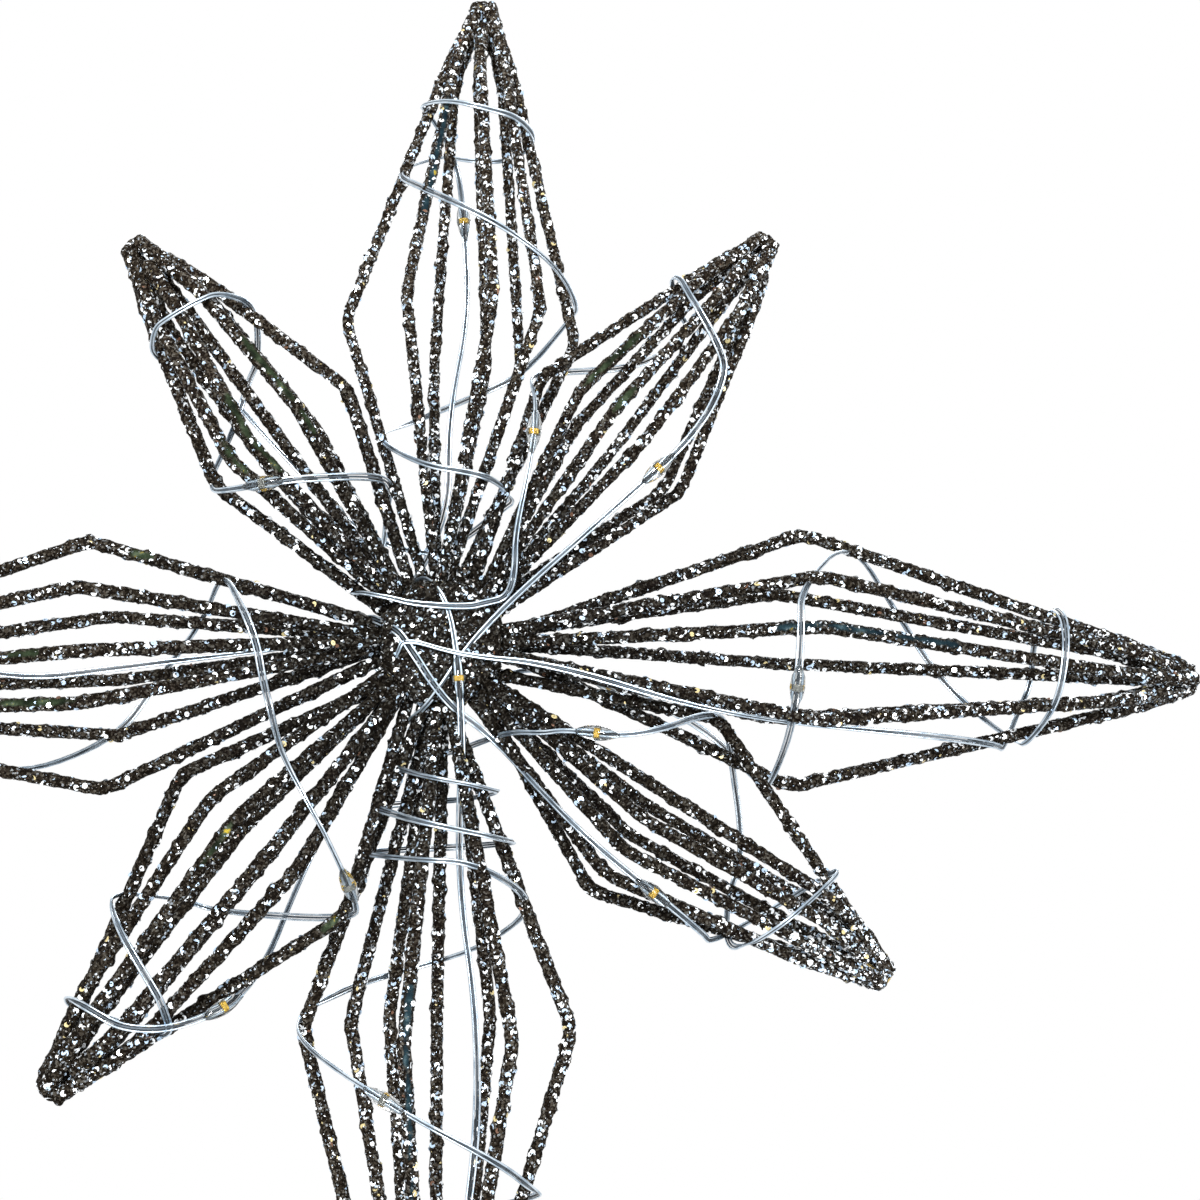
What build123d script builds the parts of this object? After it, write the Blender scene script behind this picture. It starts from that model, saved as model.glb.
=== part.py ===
from build123d import *
import math
import os

# Tree topper star: eight cages of bent wire round a hub, wound with a string of small lamps,
# on a spiral socket that slips over a tree's top shoot. Millimetres, +Z up, the star faces -Y.
# The origin is the middle of the spiral's mouth.

# Points of the star
LONG_LENGTH = 152.0
SHORT_LENGTH = 108.0
LONG_GIRTH = 25.5
SHORT_GIRTH = 19.5
WIRES_PER_POINT = 8

# Coated wire
WIRE_DIAMETER = 2.4
WELD_GAP = 0.04
FLARE_RADIUS = 8.0
BEND_RADIUS = 8.0
TIP_RADIUS = 40.0

# Ends of the wires: four inner wires run on past the four outer ones
TIP_STAGGER = 6.0
TIP_WIRE_GAP = 0.2
GATHER_LENGTH = 16.0
GATHER_RING = 7.4
GRIPPED_LEAD = 3.0
HUB_LEAD = 0.6
HUB_WIRE_GAP = 0.2

# Hub
HUB_DEPTH = 10.5
HUB_CLEARANCE = 0.4
HUB_CHAMFER = 1.0

# Braze bead that closes a tip
BEAD_THICKNESS = 0.7
BEAD_PIN_LENGTH = 8.0

# Spiral socket
SPIRAL_WIRE = 2.4
SPIRAL_INSIDE = 25.0
SPIRAL_PITCH = 9.0
SPIRAL_GRIP_GAP = 0.6
GRIP_TURNS = 2
WIDENING_TURNS = 2
SOCKET_TURNS = 6
STEPS_PER_TURN = 4

# Light string and its lamps
STRING_DIAMETER = 1.1
STRING_STANDOFF = 3.6
STRING_LEAD = 8.0
CORNER_SHARE = 0.45
CLOSE_ANGLE = 14
DROP_LENGTH = 9.0
DROP_DIAMETER = 3.1
DROP_SIDES = 8
DROP_STOP_SHARES = [-0.5, -0.41, -0.12, 0.12, 0.41, 0.5]
DROP_RING_SHARES = [0.24, 0.3, 0.5, 0.5, 0.3, 0.24]
LAMP_RUN_SHARE = 0.36
CHIP_WIDTH = 1.6
CHIP_LENGTH = 0.8
CHIP_THICKNESS = 0.5

# Battery case
CASE_WIDTH = 27.0
CASE_HEIGHT = 46.0
CASE_DEPTH = 13.0
CASE_WALL = 1.5
CASE_CORNER = 2.0
LIP = 1.0
GROOVE = 0.9
SLIDE_GAP = 0.3
STRING_HOLE_CLEARANCE = 0.3
OVERRUN = 1.0
RIB_WALL = 1.0
RIB_GAP = 11.0

# Cover
COVER_THICKNESS = 1.5
RIDGE_COUNT = 4
RIDGE_WIDTH = 0.8
RIDGE_HEIGHT = 0.5
RIDGE_PITCH = 2.0
RIDGE_LENGTH = 12.0

# Coin cells and their contacts
CELL_DIAMETER = 20.0
CELL_THICKNESS = 3.2
CELL_COUNT = 2
CELL_CLEARANCE = 0.3
CELL_CHAMFER = 0.3
CONTACT_THICKNESS = 0.3
CONTACT_WIDTH = 4.0
CONTACT_FOOT = 4.0

# Switch
SWITCH_WIDTH = 4.0
SWITCH_DEPTH = 4.5
SWITCH_LENGTH = 9.0
STEM_LENGTH = 3.0
STEM_DEPTH = 2.4
STEM_REACH = 1.6
SLIDER_TRAVEL = 2.5
SLIDER_FOOT = 1.0
SLIDER_FOOT_LENGTH = 6.2

# Lugs on the case and the wire ties that hold them to the spiral
LUG_DIAMETER = 2.4
LUG_LENGTH = 8.0
LUG_POST = 1.6
LUG_GAP = 1.3
LUG_CLEARANCE = 0.3
LUG_TURNS = [5, 8]
TIE_WIRE = 0.9
TIE_CLEARANCE = 0.12

# How each hand-bent point stands: degrees off its even place round the hub, and degrees towards the front
POINT_NAMES = ["east", "north_east", "north", "north_west", "west", "south_west", "south", "south_east"]
LONG_POINTS = ["east", "north", "west", "south"]
SWING_ANGLES = {
    "east": -2.1, "north_east": 6.5, "north": -3.2, "north_west": -6.9,
    "west": 4.3, "south_west": 5.0, "south": 0.0, "south_east": 8.0,
}
LEAN_ANGLES = {
    "east": -2.0, "north_east": 2.0, "north": -3.0, "north_west": 1.0,
    "west": 0.0, "south_west": 5.0, "south": 0.0, "south_east": 3.0,
}
LENGTH_SHARES = {
    "east": 1.045, "north_east": 1.0, "north": 0.915, "north_west": 0.95,
    "west": 0.975, "south_west": 1.05, "south": 1.2, "south_east": 1.03,
}
GIRTH_SHARES = {
    "east": 1.025, "north_east": 0.955, "north": 0.945, "north_west": 0.85,
    "west": 0.97, "south_west": 1.09, "south": 1.045, "south_east": 1.1,
}
# How far along its point each cage is widest
BEND_SHARES = {
    "east": 0.46, "north_east": 0.51, "north": 0.475, "north_west": 0.515,
    "west": 0.46, "south_west": 0.47, "south": 0.42, "south_east": 0.485,
}
# Turn of each wire round its point, in degrees: 0 faces the viewer, 90 is the clockwise side
WIRE_ANGLES = {
    "east": [-176, -141, -80, -34, -9, 32, 92, 156],
    "north_east": [-154, -77, -30, -4, 22, 92, 124, 176],
    "north": [-166, -86, -28, 14, 40, 96, 147, 166],
    "north_west": [-162, -90, -44, -23, 17, 85, 152, 178],
    "west": [-149, -92, -22, 1, 32, 81, 150, 182],
    "south_west": [-178, -82, -25, -8, 16, 35, 83, 161],
    "south": [-180, -155, -86, -32, 13, 97, 138, 158],
    "south_east": [-178, -80, -3, 14, 34, 55, 92, 162],
}

# Route of the string from the case: it winds over the points, leg by leg. A leg names its point and
# how much of the cage's girth it keeps to (1 lies outside the wires), then its stops, each a turn
# and a share of the point's length. Wound turns go on past 360.
ROUTE_SHARES = [
    ("south", 1, [(150, 0.90), (350, 0.74), (660, 0.58), (780, 0.43), (895, 0.36), (1055, 0.24),
                  (1535, 0.20), (2040, 0.11)]),
    ("south_east", 1, [(40, 0.20), (0, 0.28), (-20, 0.39), (-115, 0.53), (-165, 0.68), (-350, 0.79),
                       (-425, 0.82), (-545, 0.78), (-655, 0.69), (-680, 0.46), (-670, 0.33),
                       (-630, 0.17)]),
    ("south", 1, [(20, 0.08)]),
    ("west", 1, [(10, 0.08), (90, 0.10), (180, 0.10), (270, 0.08), (370, 0.05)]),
    ("south_east", 1, [(0, 0.05)]),
    ("east", 1, [(24, 0.14), (38, 0.35), (42, 0.60), (65, 0.72), (175, 0.81), (310, 0.80), (470, 0.77),
                 (515, 0.73), (695, 0.43), (830, 0.43), (870, 0.35), (895, 0.11)]),
    ("south", 1, [(190, 0.08), (100, 0.09), (20, 0.07)]),
    ("north_east", 1, [(45, 0.22), (40, 0.40), (50, 0.60), (50, 0.73), (-55, 0.82), (-170, 0.80),
                       (-165, 0.69), (-110, 0.54), (-50, 0.45), (-10, 0.24), (45, 0.14), (0, 0.08)]),
    ("north_west", 1, [(0, 0.09), (-60, 0.17), (-120, 0.20), (-195, 0.22), (-230, 0.29), (-335, 0.35),
                       (-415, 0.47), (-520, 0.62), (-550, 0.68), (-680, 0.80), (-765, 0.82), (-885, 0.75),
                       (-895, 0.58), (-905, 0.27)]),
    ("north", 1, [(-170, 0.14), (-240, 0.22), (-385, 0.24), (-510, 0.36), (-610, 0.53), (-670, 0.55),
                  (-870, 0.79), (-1075, 0.79), (-1195, 0.84), (-1245, 0.79)]),
    ("north", 0.6, [(-175, 0.66), (175, 0.53), (190, 0.36)]),
    ("north", 1, [(180, 0.20)]),
    ("west", 1, [(150, 0.08), (170, 0.22)]),
    ("west", 0.7, [(175, 0.40), (185, 0.62)]),
    ("west", 1, [(115, 0.77), (-45, 0.86), (-200, 0.80), (-345, 0.71), (-450, 0.60), (-570, 0.33),
                 (-715, 0.24), (-775, 0.23)]),
    ("south_west", 1, [(35, 0.33), (-65, 0.44), (-180, 0.61), (-300, 0.71), (-445, 0.81), (-595, 0.88),
                       (-740, 0.84), (-785, 0.78), (-810, 0.66), (-880, 0.45), (-900, 0.16)]),
    ("west", 1, [(-150, 0.07)]),
    ("north", 1, [(-90, 0.10), (-15, 0.08)]),
    ("south", 1, [(-25, -0.02), (-35, 0.10)]),
    ("south", 0.4, [(-35, 0.26), (-50, 0.40), (-90, 0.55), (-40, 0.70), (-60, 0.80)]),
]
# Where the lamps are: each sits on the run of the string nearest to this point, turn and share
LAMP_SHARES = [
    ("south", 20, 0.47), ("south_east", -10, 0.33), ("south_east", 55, 0.56), ("east", 20, 0.42),
    ("north_east", 45, 0.50), ("north_east", -40, 0.405), ("north_west", -35, 0.45),
    ("north_west", 150, 0.36), ("north", -175, 0.66), ("south_west", -78, 0.72), ("south_west", -55, 0.45),
    ("south", -30, 0.04), ("south", 150, 0.85), ("east", 165, 0.23), ("west", 115, 0.77),
    ("west", -200, 0.80), ("west", -345, 0.71), ("south", 0, 0.74), ("south", 180, 0.64),
    ("south", -50, 0.75),
]

# Rings that the wire ends are bundled in: four wires in a square, four more in its hollows
WIRE_SPACING = 360 / WIRES_PER_POINT
POINT_SPACING = 360 / len(POINT_NAMES)
TOUCH = WIRE_DIAMETER + WELD_GAP
INNER_RING = TOUCH * math.sqrt(2) / 2
OUTER_RING = TOUCH * (1 + math.sqrt(3)) / 2
TIP_RING = TOUCH / (2 * math.sin(math.radians(WIRE_SPACING / 2))) + TIP_WIRE_GAP
OUTER_REACH = OUTER_RING + WIRE_DIAMETER / 2
HALF_POINT = math.radians(POINT_SPACING / 2)
HUB_FLAT = OUTER_REACH / math.sin(HALF_POINT) + HUB_CLEARANCE
FLARE_START = HUB_FLAT + HUB_LEAD

# Heights from the spiral's mouth up to the middle of the star
GRIP_PITCH = SPIRAL_WIRE + SPIRAL_GRIP_GAP
GRIP_RADIUS = OUTER_REACH + SPIRAL_WIRE / 2 + WELD_GAP
SOCKET_RADIUS = (SPIRAL_INSIDE + SPIRAL_WIRE) / 2
WIDENING_PITCH = (GRIP_PITCH + SPIRAL_PITCH) / 2
SPIRAL_RISE = SOCKET_TURNS * SPIRAL_PITCH + WIDENING_TURNS * WIDENING_PITCH
GRIP_LENGTH = GRIP_TURNS * GRIP_PITCH
SOUTH_BUNDLE = TIP_STAGGER + GRIP_LENGTH + 3 * SPIRAL_WIRE
SOUTH_LENGTH = LONG_LENGTH * LENGTH_SHARES["south"]
STAR_HEIGHT = SPIRAL_WIRE / 2 + SPIRAL_RISE + SOUTH_LENGTH - TIP_STAGGER - SPIRAL_WIRE
CENTRE = Vector(0, 0, STAR_HEIGHT)


# Planes of the case: it stands behind the spiral, its cover facing back
SLIDE_SPACE = COVER_THICKNESS + 2 * SLIDE_GAP
LUG_CENTRE = SOCKET_RADIUS + SPIRAL_WIRE / 2 + LUG_CLEARANCE + LUG_DIAMETER / 2
CASE_FRONT = LUG_CENTRE + LUG_DIAMETER / 2 + LUG_GAP
CASE_FLOOR = CASE_FRONT + CASE_WALL
CASE_BACK = CASE_FRONT + CASE_DEPTH
GROOVE_FRONT = CASE_BACK - LIP - SLIDE_SPACE
CASE_INSIDE = CASE_WIDTH / 2 - CASE_WALL


def point_length(name):
    whole = LONG_LENGTH if name in LONG_POINTS else SHORT_LENGTH
    return whole * LENGTH_SHARES[name]


def point_girth(name):
    whole = LONG_GIRTH if name in LONG_POINTS else SHORT_GIRTH
    return whole * GIRTH_SHARES[name]


def point_bend(name):
    return point_length(name) * BEND_SHARES[name]


def directions_of(turn, lean):
    """Axis of a point, its front side and its clockwise side."""
    turn = math.radians(turn)
    lean = math.radians(lean)
    axis = Vector(math.cos(turn) * math.cos(lean), -math.sin(lean), math.sin(turn) * math.cos(lean))
    front = Vector(0, -1, 0)
    front = (front - axis * front.dot(axis)).normalized()
    return axis, front, axis.cross(front)


def spot(frame, along, out, around):
    """A place round a point's axis: so far along it, so far out from it, turned so many degrees."""
    axis, front, side = frame
    around = math.radians(around)
    return CENTRE + axis * along + front * (out * math.cos(around)) + side * (out * math.sin(around))


def point_frame(name):
    even = POINT_NAMES.index(name) * POINT_SPACING
    return directions_of(even + SWING_ANGLES[name], LEAN_ANGLES[name])


def hub_frame(name):
    return directions_of(POINT_NAMES.index(name) * POINT_SPACING, 0)


def corner_radius(before, corner, after, wanted):
    """The wanted radius, or as much of it as the shorter run beside the corner has room for."""
    half_turn = math.radians((corner - before).get_angle(after - corner)) / 2
    room = min((corner - before).length, (after - corner).length) * CORNER_SHARE * 2
    return min(wanted, room / math.tan(half_turn))


def bent_path(places, wanted):
    """Straight runs joined by arcs of about the wanted radii."""
    corners = zip(places, places[1:], places[2:], wanted)
    return FilletPolyline(*places, radius=[corner_radius(*corner) for corner in corners])


def tube(path, diameter):
    section = Plane(origin=path @ 0, z_dir=path % 0) * Circle(diameter / 2)
    return sweep(section, path=path)


# Cages
def bundle_turn(name, number):
    """Turn of a wire where the wires are bundled: evenly spaced, as near as can be to its own turn."""
    turns = WIRE_ANGLES[name]
    shift = sum(turn - WIRE_SPACING * place for place, turn in enumerate(turns)) / len(turns)
    return shift + WIRE_SPACING * number


def wire_path(name, number):
    """Line of one wire: from the hub out to its bend at the widest ring, then in to the tip."""
    inner = number % 2 == 0
    turn = bundle_turn(name, number)
    length = point_length(name)
    near, far = hub_frame(name), point_frame(name)
    places = [spot(near, HUB_FLAT, INNER_RING, turn), spot(near, FLARE_START, INNER_RING, turn)]
    if not inner:
        places = [spot(near, HUB_FLAT, OUTER_RING + HUB_WIRE_GAP, turn)]
    places.append(spot(far, point_bend(name), point_girth(name), WIRE_ANGLES[name][number]))
    end = length if inner else length - TIP_STAGGER
    if name == "south":
        ring = INNER_RING if inner else OUTER_RING
        bundle = length - SOUTH_BUNDLE - (GRIPPED_LEAD if inner else 0)
        places += [spot(far, stop, ring, turn) for stop in (bundle, end)]
    else:
        places.append(spot(far, length - GATHER_LENGTH, GATHER_RING, turn))
        places.append(spot(far, end, INNER_RING if inner else TIP_RING, turn))
    return bent_path(places, [FLARE_RADIUS] * inner + [BEND_RADIUS, TIP_RADIUS])


def cage(name):
    lines = [wire_path(name, number) for number in range(WIRES_PER_POINT)]
    return Compound(children=[tube(line, WIRE_DIAMETER) for line in lines])


def tip_bead(name):
    """Bead on the ends of the four inner wires, with a stalk run down between them."""
    axis, front, side = point_frame(name)
    end = Plane(origin=CENTRE + axis * point_length(name), z_dir=axis)
    stalk_radius = INNER_RING - WIRE_DIAMETER / 2 - WELD_GAP
    upward = (Align.CENTER, Align.CENTER, Align.MIN)
    downward = (Align.CENTER, Align.CENTER, Align.MAX)
    cap = Cylinder(INNER_RING, BEAD_THICKNESS, align=upward)
    cap = chamfer(cap.edges().group_by(Axis.Z)[-1], BEAD_THICKNESS / 2)
    return end * (cap + Cylinder(stalk_radius, BEAD_PIN_LENGTH, align=downward))


def hub_block():
    """Eight-sided block, one flat for the wire ends of each point."""
    face = RegularPolygon(HUB_FLAT, len(POINT_NAMES), major_radius=False, rotation=POINT_SPACING / 2)
    block = extrude(Plane.XZ * face, HUB_DEPTH / 2, both=True)
    block = chamfer(block.faces().sort_by(Axis.Y)[0].edges(), HUB_CHAMFER)
    block = chamfer(block.faces().sort_by(Axis.Y)[-1].edges(), HUB_CHAMFER)
    return Pos(CENTRE) * block


# Spiral socket
def spiral_place(turns):
    """Place on the spiral's centre line, so many turns down from its top."""
    grip = min(turns, GRIP_TURNS)
    widening = min(max(turns - GRIP_TURNS, 0), WIDENING_TURNS)
    socket = max(turns - GRIP_TURNS - WIDENING_TURNS, 0)
    share = widening / WIDENING_TURNS
    radius = GRIP_RADIUS + (SOCKET_RADIUS - GRIP_RADIUS) * share
    eased = GRIP_PITCH * widening + (SPIRAL_PITCH - GRIP_PITCH) * widening * share / 2
    top = SPIRAL_WIRE / 2 + SPIRAL_RISE + GRIP_LENGTH
    height = top - GRIP_PITCH * grip - eased - SPIRAL_PITCH * socket
    angle = 2 * math.pi * turns + math.pi / 2
    return Vector(radius * math.cos(angle), radius * math.sin(angle), height)


def spiral_heading(turns):
    step = 1 / (STEPS_PER_TURN * WIRES_PER_POINT ** 2)
    return (spiral_place(turns + step) - spiral_place(turns - step)).normalized()


def biarc(start, start_heading, end, end_heading):
    """Two arcs that leave along one heading and arrive along the other."""
    chord = end - start
    both = start_heading + end_heading
    spread = 2 * (1 - start_heading.dot(end_heading))
    lean = chord.dot(both)
    reach = (math.sqrt(lean ** 2 + spread * chord.dot(chord)) - lean) / spread
    middle = (start + end + (start_heading - end_heading) * reach) / 2
    first = TangentArc(start, middle, tangent=start_heading)
    return [first, TangentArc(middle, end, tangent=first % 1)]


def least_gap(places, diameter, turn_places):
    """Least gap of a wound tube to itself, measured between places about a turn or more apart."""
    gaps = []
    for number, place in enumerate(places):
        for other in places[number + turn_places * 3 // 4:]:
            gaps.append((place - other).length - diameter)
    return min(gaps)


def spiral_socket():
    """Spiral of wire: tight turns round the south tip, then wider and wider down to the mouth."""
    turns = GRIP_TURNS + WIDENING_TURNS + SOCKET_TURNS
    stops = [number / STEPS_PER_TURN for number in range(turns * STEPS_PER_TURN + 1)]
    places = [spiral_place(stop) for stop in stops]
    headings = [spiral_heading(stop) for stop in stops]
    edges = [Line(places[0] - headings[0] * SPIRAL_WIRE, places[0])]
    for number in range(len(stops) - 1):
        edges += biarc(places[number], headings[number], places[number + 1], headings[number + 1])
    edges.append(Line(places[-1], places[-1] + headings[-1] * SPIRAL_WIRE))
    fine = [spiral_place(number / (STEPS_PER_TURN ** 3)) for number in range(turns * STEPS_PER_TURN ** 3)]
    print("spiral least gap to itself", round(least_gap(fine, SPIRAL_WIRE, STEPS_PER_TURN ** 3), 2))
    return tube(Wire(edges), SPIRAL_WIRE)


# Light string
def cage_girth(name, along):
    """Distance of a cage's wires from their axis, so far along it."""
    length = point_length(name)
    stops = [FLARE_START, point_bend(name), length - GATHER_LENGTH, length]
    girths = [OUTER_RING, point_girth(name), GATHER_RING, INNER_RING]
    along = min(max(along, stops[0]), stops[-1])
    for low, high, start, end in zip(stops, stops[1:], girths, girths[1:]):
        if along <= high:
            return start + (end - start) * (along - low) / (high - low)


def string_place(name, keep, turn, share):
    """Place on the string: outside the cage's wires, or at a share of their girth inside them."""
    along = point_length(name) * share
    out = cage_girth(name, along)
    out = out + STRING_STANDOFF if keep == 1 else out * keep
    return spot(point_frame(name), along, out, turn)


def wound_stops(name, stops):
    """Stops of a leg, and one more wherever it crosses a wire between them."""
    wound = [stops[0]]
    for (turn, share), (next_turn, next_share) in zip(stops, stops[1:]):
        low, high = sorted((turn, next_turn))
        laps = range(low // 360 - 1, high // 360 + 2)
        passed = [wire + 360 * lap for lap in laps for wire in WIRE_ANGLES[name]]
        for wire in sorted(passed, reverse=next_turn < turn):
            clear = min(abs(wire - wound[-1][0]), abs(wire - next_turn)) >= CLOSE_ANGLE
            if low < wire < high and clear:
                passed_share = (wire - turn) / (next_turn - turn)
                wound.append((wire, share + (next_share - share) * passed_share))
        wound.append((next_turn, next_share))
    return wound


def string_route():
    """Corners of the string, from its end in the case."""
    end = Vector(-CASE_INSIDE / 2, CASE_FLOOR + CASE_DEPTH / 4, CASE_TOP)
    corners = [end - Vector(0, 0, STRING_LEAD), end + Vector(0, 0, STRING_LEAD)]
    for name, keep, stops in ROUTE_SHARES:
        if keep == 1:
            stops = wound_stops(name, stops)
        corners += [string_place(name, keep, turn, share) for turn, share in stops]
    return corners


def string_radii(corners):
    """As large an arc at each corner as the shorter run beside it has room for."""
    radii = []
    for before, corner, after in zip(corners, corners[1:], corners[2:]):
        half_turn = math.radians((corner - before).get_angle(after - corner)) / 2
        run = min((corner - before).length, (after - corner).length)
        radii.append(run * CORNER_SHARE / math.tan(half_turn))
    return radii


def light_string(corners):
    radii = string_radii(corners)
    path = FilletPolyline(*corners, radius=radii)
    string = tube(path, STRING_DIAMETER)
    section = math.pi * STRING_DIAMETER ** 2 / 4
    print("string corners", len(corners), "length", round(path.length))
    print("string radii", [round(radius, 1) for radius in radii])
    print("string volume", round(string.volume), "section by length", round(section * path.length))
    return string


def lamp_planes(corners):
    """Spot near the middle of the run nearest to each lamp's place, facing along that run."""
    planes = []
    for name, turn, share in LAMP_SHARES:
        place = string_place(name, 1, turn, share)
        spots = []
        for start, end in zip(corners, corners[1:]):
            run = end - start
            along = min(max((place - start).dot(run) / run.dot(run), LAMP_RUN_SHARE), 1 - LAMP_RUN_SHARE)
            spots.append(Plane(origin=start + run * along, z_dir=run))
        planes.append(min(spots, key=lambda spot: (spot.origin - place).length))
    return planes


def chip_block(clearance):
    width, length = CHIP_WIDTH + 2 * clearance, CHIP_LENGTH + 2 * clearance
    chip = Box(width, CHIP_THICKNESS + clearance, length, align=(Align.CENTER, Align.MIN, Align.CENTER))
    return Pos(0, STRING_DIAMETER / 2 + WELD_GAP, 0) * chip


def lamp_drop():
    """Drop of clear resin round the string, drawn in at both ends, hollow for the string and chip."""
    neck = STRING_DIAMETER / 2 + WELD_GAP
    rings = zip(DROP_STOP_SHARES, DROP_RING_SHARES)
    sections = [
        Pos(0, 0, DROP_LENGTH * stop) * RegularPolygon(DROP_DIAMETER * ring, DROP_SIDES)
        for stop, ring in rings
    ]
    bore = extrude(RegularPolygon(neck, DROP_SIDES, major_radius=False), DROP_LENGTH, both=True)
    return loft(sections, ruled=True) - bore - chip_block(WELD_GAP)


# Battery case
LUG_HEIGHTS = [spiral_place(turns).Z for turns in LUG_TURNS]
CASE_BOTTOM = sum(LUG_HEIGHTS) / len(LUG_HEIGHTS) - CASE_HEIGHT / 2
CASE_TOP = CASE_BOTTOM + CASE_HEIGHT
CELL_POCKET = CELL_DIAMETER / 2 + CELL_CLEARANCE
CELL_CENTRE = CASE_BOTTOM + CASE_WALL + RIB_WALL + CELL_POCKET
CELLS_FRONT = CASE_FLOOR + CONTACT_THICKNESS + 2 * WELD_GAP
CELLS_BACK = CELLS_FRONT + CELL_COUNT * (CELL_THICKNESS + WELD_GAP)
SWITCH_CENTRE = (CELL_CENTRE + CELL_POCKET + CASE_TOP) / 2
STEM_CENTRE = CASE_FLOOR + SWITCH_DEPTH / 2
STEM_BOTTOM = SWITCH_CENTRE - (STEM_LENGTH + SLIDER_TRAVEL) / 2


def block(across, deep, high):
    """Box between two places on each axis."""
    spans = [across, deep, high]
    middle = [(start + end) / 2 for start, end in spans]
    return Pos(*middle) * Box(*[end - start for start, end in spans])


def round_bar(radius, deep, place):
    """Cylinder that runs back from one depth to another."""
    x, z = place
    return Pos(x, (deep[0] + deep[1]) / 2, z) * Rot(90, 0, 0) * Cylinder(radius, deep[1] - deep[0])


def around(middle, width):
    return (middle - width / 2, middle + width / 2)


def case_lug(height):
    """Round bar across the front of the case, on two posts."""
    bar = Pos(0, LUG_CENTRE, height) * Rot(0, 90, 0) * Cylinder(LUG_DIAMETER / 2, LUG_LENGTH)
    for side in (-1, 1):
        across = around(side * (LUG_LENGTH - LUG_POST) / 2, LUG_POST)
        bar += block(across, (LUG_CENTRE, CASE_FLOOR), around(height, LUG_DIAMETER))
    return bar


def battery_case():
    """Tray open to the back, grooved for its cover, with a ring for the cells and two lugs."""
    half, inside = CASE_WIDTH / 2, CASE_INSIDE
    past = CASE_BACK + OVERRUN
    case = block((-half, half), (CASE_FRONT, CASE_BACK), (CASE_BOTTOM, CASE_TOP))
    case = fillet(case.edges().filter_by(Axis.Y), CASE_CORNER)
    hollow = (CASE_BOTTOM + CASE_WALL, CASE_TOP - CASE_WALL)
    case -= block((-inside, inside), (CASE_FLOOR, past), hollow)
    sliding = (CASE_BOTTOM - OVERRUN, CASE_TOP - CASE_WALL)
    case -= block(around(0, 2 * (inside + GROOVE)), (GROOVE_FRONT, CASE_BACK - LIP), sliding)
    case -= block((-inside, inside), (GROOVE_FRONT, past), sliding)
    rib = (CASE_FLOOR - CASE_WALL / 2, CELLS_BACK - CELL_THICKNESS)
    ring = round_bar(CELL_POCKET + RIB_WALL, rib, (0, CELL_CENTRE))
    ring -= round_bar(CELL_POCKET, rib, (0, CELL_CENTRE))
    ring -= block(around(0, RIB_GAP), rib, (CELL_CENTRE, CASE_TOP))
    case += ring
    slot = (STEM_BOTTOM - SLIDE_GAP, STEM_BOTTOM + STEM_LENGTH + SLIDER_TRAVEL + SLIDE_GAP)
    case -= block((inside - OVERRUN, half + OVERRUN), around(STEM_CENTRE, STEM_DEPTH + 2 * SLIDE_GAP), slot)
    hole = Cylinder(STRING_DIAMETER / 2 + STRING_HOLE_CLEARANCE, CASE_WALL + 2 * OVERRUN)
    case -= Pos(-inside / 2, CASE_FLOOR + CASE_DEPTH / 4, CASE_TOP - CASE_WALL / 2) * hole
    for height in LUG_HEIGHTS:
        case += case_lug(height)
    return case


def battery_cover():
    """Plate that slides down out of the case, with ridges for a thumb."""
    half = CASE_INSIDE + GROOVE - SLIDE_GAP
    front = GROOVE_FRONT + SLIDE_GAP
    back = front + COVER_THICKNESS
    cover = block((-half, half), (front, back), (CASE_BOTTOM, CASE_TOP - CASE_WALL - SLIDE_GAP))
    cover = fillet(cover.edges().filter_by(Axis.Y).group_by(Axis.Z)[0], CASE_CORNER)
    for number in range(RIDGE_COUNT):
        height = CASE_BOTTOM + CASE_CORNER + RIDGE_PITCH * (number + 1)
        cover += block(around(0, RIDGE_LENGTH), (front, back + RIDGE_HEIGHT), around(height, RIDGE_WIDTH))
    return cover


def coin_cells():
    cells = []
    for number in range(CELL_COUNT):
        front = CELLS_FRONT + number * (CELL_THICKNESS + WELD_GAP)
        cell = round_bar(CELL_DIAMETER / 2, (front, front + CELL_THICKNESS), (0, CELL_CENTRE))
        cells.append(chamfer(cell.edges().filter_by(GeomType.CIRCLE), CELL_CHAMFER))
    return Compound(children=cells)


def cell_spring():
    """Strip on the case's floor under the cells, with a tail out through the gap in the ring."""
    deep = (CASE_FLOOR + WELD_GAP, CASE_FLOOR + WELD_GAP + CONTACT_THICKNESS)
    high = (CELL_CENTRE - CONTACT_FOOT, CELL_CENTRE + CELL_POCKET + CONTACT_FOOT)
    return block(around(-RIB_GAP / 4, CONTACT_WIDTH), deep, high)


def cell_clip():
    """Strip over the cells, down past their edge and out along the floor."""
    across = around(RIB_GAP / 4, CONTACT_WIDTH)
    foot = CASE_FLOOR + WELD_GAP
    top = CELLS_BACK + CONTACT_THICKNESS
    edge = CELL_CENTRE + CELL_POCKET
    clip = block(across, (CELLS_BACK, top), (CELL_CENTRE, edge + CONTACT_THICKNESS))
    clip += block(across, (foot, top), (edge, edge + CONTACT_THICKNESS))
    return clip + block(across, (foot, foot + CONTACT_THICKNESS), (edge, edge + CONTACT_FOOT))


SLIDER_SPACE = SLIDER_FOOT + 2 * SLIDE_GAP


def switch_body():
    across = (CASE_INSIDE - SLIDER_SPACE - SWITCH_WIDTH, CASE_INSIDE - SLIDER_SPACE)
    deep = (CASE_FLOOR + WELD_GAP, CASE_FLOOR + SWITCH_DEPTH)
    return block(across, deep, around(SWITCH_CENTRE, SWITCH_LENGTH))


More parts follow.
